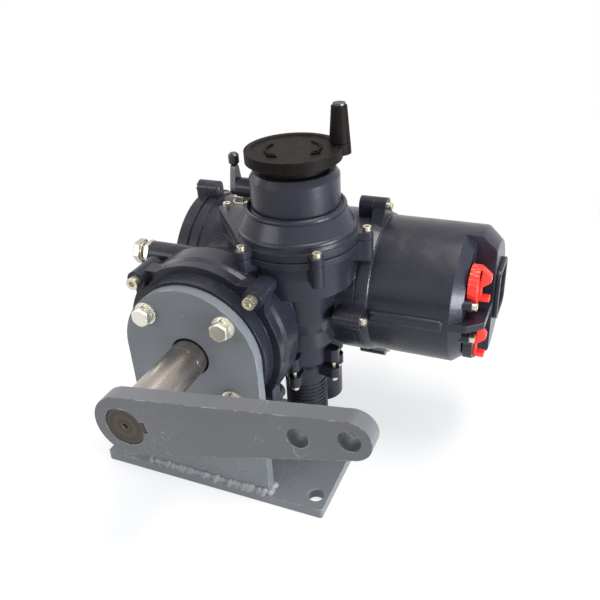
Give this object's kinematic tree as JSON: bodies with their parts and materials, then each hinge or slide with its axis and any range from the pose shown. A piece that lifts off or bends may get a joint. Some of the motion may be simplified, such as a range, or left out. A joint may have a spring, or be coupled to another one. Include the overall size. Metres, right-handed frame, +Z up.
{
  "type": "electric valve actuator",
  "caption": "Quarter-turn electric actuator on a welded foot stand, with output lever, handwheel and selector knobs.",
  "frame": {"origin": "centre of the foot's bolt pattern, on the foot's underside", "axes": "+Z up, square to the foot; -Y towards the lever side; +X towards the display, along the lever's reach"},
  "size_m": [0.412, 0.4112, 0.4012],
  "materials": {
    "body_paint": "gloss dark blue-grey paint",
    "bracket_paint": "satin mid-grey paint",
    "weld": "painted weld metal",
    "shaft_steel": "ground steel",
    "zinc": "zinc plated",
    "screw_steel": "plated screws",
    "handwheel_black": "satin black-brown",
    "seal_rubber": "black rubber",
    "bronze": "bearing bronze",
    "gear_iron": "machined iron",
    "knob_red": "red",
    "knob_black": "black",
    "glass": "toughened glass",
    "screen": "dark display",
    "board": "green board",
    "winding": "copper winding",
    "plug_steel": "steel plug"
  },
  "bodies": {
    "housing": {"base_plate": "bracket_paint", "upright_plate": "bracket_paint", "bracket_welds": "weld", "upright_bolts": "zinc", "upright_spring_washers": "zinc", "upright_flat_washers": "zinc", "gear_cover": "body_paint", "shaft_seal": "seal_rubber", "shaft_bush_front": "bronze", "shaft_bush_rear": "bronze", "gear_cover_screws": "screw_steel", "main_housing": "body_paint", "filler_plug": "plug_steel", "conduit_plugs": "plug_steel", "stop_bolts": "screw_steel", "stop_lock_nuts": "screw_steel", "worm_bearing_upper": "shaft_steel", "worm_bearing_lower": "shaft_steel", "motor_housing": "body_paint", "motor_stator": "winding", "motor_tie_bolts": "screw_steel", "cap_gasket": "seal_rubber", "handwheel_cap": "body_paint", "cap_bush": "bronze", "cap_screws": "screw_steel", "display_cover": "body_paint", "display_bezel": "body_paint", "display_window": "glass", "display_screen": "screen", "display_cover_screws": "screw_steel", "bay_screws": "screw_steel", "terminal_cover": "body_paint", "terminal_cover_screws": "screw_steel", "terminal_block": "knob_black", "control_board": "board"},
    "output": {"output_shaft": "shaft_steel", "lever_key": "shaft_steel", "wheel_key": "shaft_steel", "lever_arm": "bracket_paint", "stop_quadrant": "gear_iron", "shaft_spacer": "shaft_steel", "worm_wheel": "bronze"},
    "worm": {"worm_shaft": "shaft_steel", "motor_rotor": "gear_iron"},
    "handwheel": {"handwheel": "handwheel_black", "handwheel_shaft": "shaft_steel", "crank_pin": "shaft_steel"},
    "grip": {"crank_grip": "handwheel_black"},
    "clutch_sleeve": {"clutch_sleeve": "shaft_steel"},
    "clutch_handle": {"clutch_shaft": "shaft_steel", "clutch_lever": "plug_steel", "clutch_knob": "knob_black"},
    "red_knob": {"red_selector_knob": "knob_red"},
    "black_knob": {"black_selector_knob": "knob_black"}
  },
  "joints": [
    {"name": "output_turn", "type": "hinge", "parent": "housing", "child": "output", "pos_m": [0, 0, 0.178], "axis": [0, 1, 0], "range_deg": [-45, 45]},
    {"name": "worm_spin", "type": "hinge", "parent": "housing", "child": "worm", "pos_m": [0.075, 0.039, 0.178], "axis": [0, 0, 1], "range_deg": [-2205, 2205]},
    {"name": "handwheel_turn", "type": "hinge", "parent": "housing", "child": "handwheel", "pos_m": [0.075, 0.039, 0.36], "axis": [0, 0, 1], "continuous": true},
    {"name": "grip_spin", "type": "hinge", "parent": "handwheel", "child": "grip", "pos_m": [0.114, 0.06433, 0.38], "axis": [0, 0, 1], "continuous": true},
    {"name": "clutch_turn", "type": "hinge", "parent": "housing", "child": "clutch_handle", "pos_m": [0.03, 0.039, 0.317], "axis": [1, 0, 0], "range_deg": [0, 35]},
    {"name": "clutch_slide", "type": "slide", "parent": "handwheel", "child": "clutch_sleeve", "axis": [0, 0, -1], "range_m": [0, 0.0052]},
    {"name": "red_knob_turn", "type": "hinge", "parent": "housing", "child": "red_knob", "pos_m": [0.25, 0.079, 0.221], "axis": [1, 0, 0], "range_deg": [-60, 60]},
    {"name": "black_knob_turn", "type": "hinge", "parent": "housing", "child": "black_knob", "pos_m": [0.25, 0.079, 0.153], "axis": [1, 0, 0], "range_deg": [-45, 45], "stiffness_Nm_per_rad": 0.06}
  ],
  "couplings": [
    {"joint": "worm_spin", "follows": "output_turn", "ratio": 49},
    {"joint": "clutch_turn", "follows": "clutch_slide", "rad_per_m": 117.47}
  ]
}
